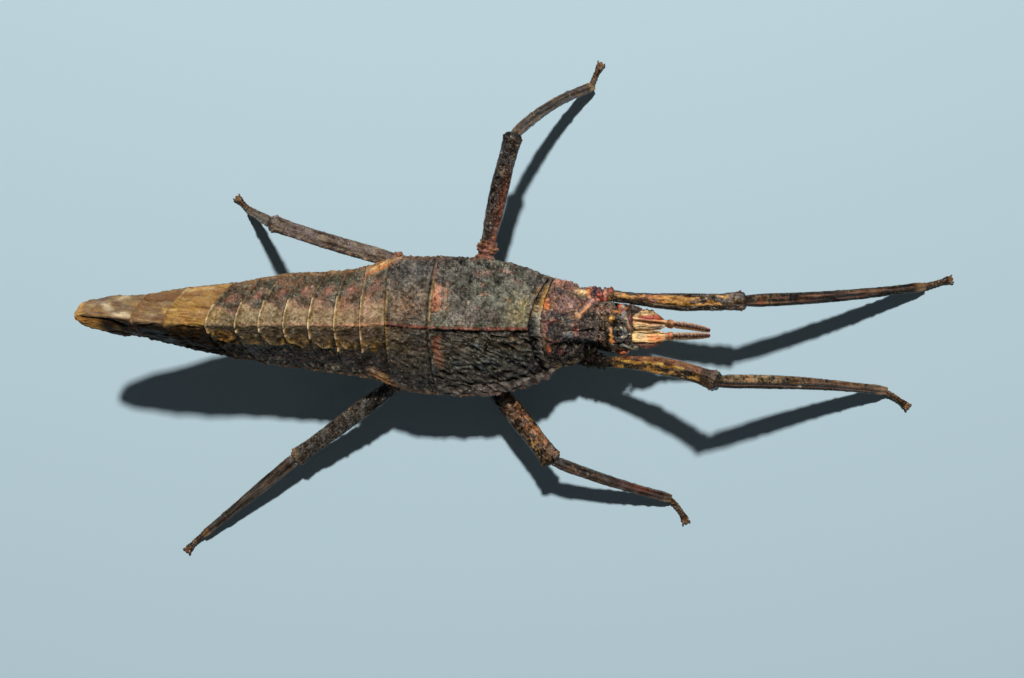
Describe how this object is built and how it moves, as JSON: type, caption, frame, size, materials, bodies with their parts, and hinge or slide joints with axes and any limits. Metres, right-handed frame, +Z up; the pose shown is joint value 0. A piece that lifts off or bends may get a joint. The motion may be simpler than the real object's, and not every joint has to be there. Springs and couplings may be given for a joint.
{
  "type": "stick insect model",
  "caption": "Still life-size model of a stout, bark-like wingless stick insect standing on its feet with its front legs reaching forward.",
  "frame": {"origin": "Under the middle of the model, on the surface that its feet rest on.", "axes": "+X towards the head, +Y to the insect's left, +Z up."},
  "size_m": [0.131, 0.0778, 0.0268],
  "materials": {
    "tail": "Pale golden-tan cuticle of the last segments.",
    "abdomen": "Khaki to brown rough cuticle with pale raised cross ridges.",
    "antenna": "Orange-brown banded feeler.",
    "coxa": "Reddish rough leg base.",
    "eye": "Glossy orange-red compound eye, darker in front.",
    "fore_femur": "Golden-yellow femur mottled dark brown.",
    "femur": "Dark brown rough femur with rusty patches.",
    "head": "Dark grey and maroon mottled cuticle.",
    "back": "Dark grey-brown, rough, bark-like cuticle of the thorax, with a brick-red keel.",
    "pronotum": "Reddish-brown rough cuticle with tubercles.",
    "scape": "Cream and peach first antennal segment with orange-red streaks.",
    "tarsus": "Dark brown foot with yellowish tips.",
    "tibia": "Brown-black tibia with tan flecks."
  },
  "bodies": {
    "root": {"abdomen_10": "tail", "abdomen_2": "abdomen", "abdomen_3": "abdomen", "abdomen_4": "abdomen", "abdomen_5": "abdomen", "abdomen_6": "abdomen", "abdomen_7": "abdomen", "abdomen_8": "abdomen", "abdomen_9": "tail", "abdomen_tip": "tail", "antenna_left": "antenna", "antenna_right": "antenna", "coxa_fore_left": "coxa", "coxa_fore_right": "coxa", "coxa_hind_left": "coxa", "coxa_hind_right": "coxa", "coxa_mid_left": "coxa", "coxa_mid_right": "coxa", "eye_left": "eye", "eye_right": "eye", "femur_fore_left": "fore_femur", "femur_fore_right": "fore_femur", "femur_hind_left": "femur", "femur_hind_right": "femur", "femur_mid_left": "femur", "femur_mid_right": "femur", "head": "head", "mesothorax": "back", "metathorax": "back", "prothorax": "pronotum", "scape_left": "scape", "scape_right": "scape", "tarsus_fore_left": "tarsus", "tarsus_fore_right": "tarsus", "tarsus_hind_left": "tarsus", "tarsus_hind_right": "tarsus", "tarsus_mid_left": "tarsus", "tarsus_mid_right": "tarsus", "tibia_fore_left": "tibia", "tibia_fore_right": "tibia", "tibia_hind_left": "tibia", "tibia_hind_right": "tibia", "tibia_mid_left": "tibia", "tibia_mid_right": "tibia"}
  },
  "joints": []
}
